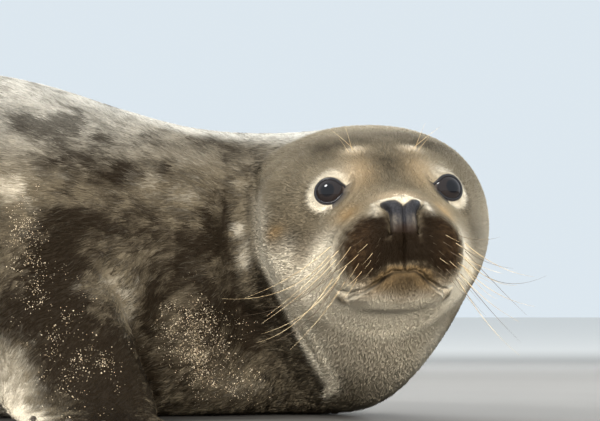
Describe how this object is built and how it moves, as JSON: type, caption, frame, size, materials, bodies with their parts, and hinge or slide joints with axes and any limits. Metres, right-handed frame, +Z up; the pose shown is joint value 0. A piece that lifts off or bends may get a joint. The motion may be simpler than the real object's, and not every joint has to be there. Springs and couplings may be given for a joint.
{
  "type": "grey seal pup",
  "caption": "Still, life-size grey seal pup lying on its belly, head turned to its right to look at the viewer, foreflippers on the ground and hind flippers fanned behind.",
  "frame": {"origin": "under the middle of the bounding box, on the ground plane that the belly and flippers rest on", "axes": "+X runs along the trunk towards the head end, +Y is the trunk's left side, +Z is up; the head looks to -Y"},
  "size_m": [1.1858, 0.7028, 0.3124],
  "materials": {
    "coat": "short flat fur, grey-brown with dark and pale mottling",
    "pale_coat": "short flat fur, cream",
    "nose_skin": "bare grey-black skin, half matt",
    "eye": "wet, near black, mirror-smooth cornea",
    "claw": "dark horn, half matt"
  },
  "bodies": {
    "root": {"abdomen": "coat", "chest": "coat", "fore_flipper_left": "coat", "fore_flipper_right": "coat", "head": "coat", "hind_flipper_left": "coat", "hind_flipper_right": "coat", "hindquarters": "coat", "neck": "coat", "tail": "coat", "lower_jaw": "pale_coat", "nose": "nose_skin", "eye_left": "eye", "eye_right": "eye", "claw_fore_flipper_left_1": "claw", "claw_fore_flipper_left_2": "claw", "claw_fore_flipper_left_3": "claw", "claw_fore_flipper_left_4": "claw", "claw_fore_flipper_left_5": "claw", "claw_fore_flipper_right_1": "claw", "claw_fore_flipper_right_2": "claw", "claw_fore_flipper_right_3": "claw", "claw_fore_flipper_right_4": "claw", "claw_fore_flipper_right_5": "claw", "claw_hind_flipper_left_1": "claw", "claw_hind_flipper_left_2": "claw", "claw_hind_flipper_left_3": "claw", "claw_hind_flipper_left_4": "claw", "claw_hind_flipper_left_5": "claw", "claw_hind_flipper_right_1": "claw", "claw_hind_flipper_right_2": "claw", "claw_hind_flipper_right_3": "claw", "claw_hind_flipper_right_4": "claw", "claw_hind_flipper_right_5": "claw"}
  },
  "joints": []
}
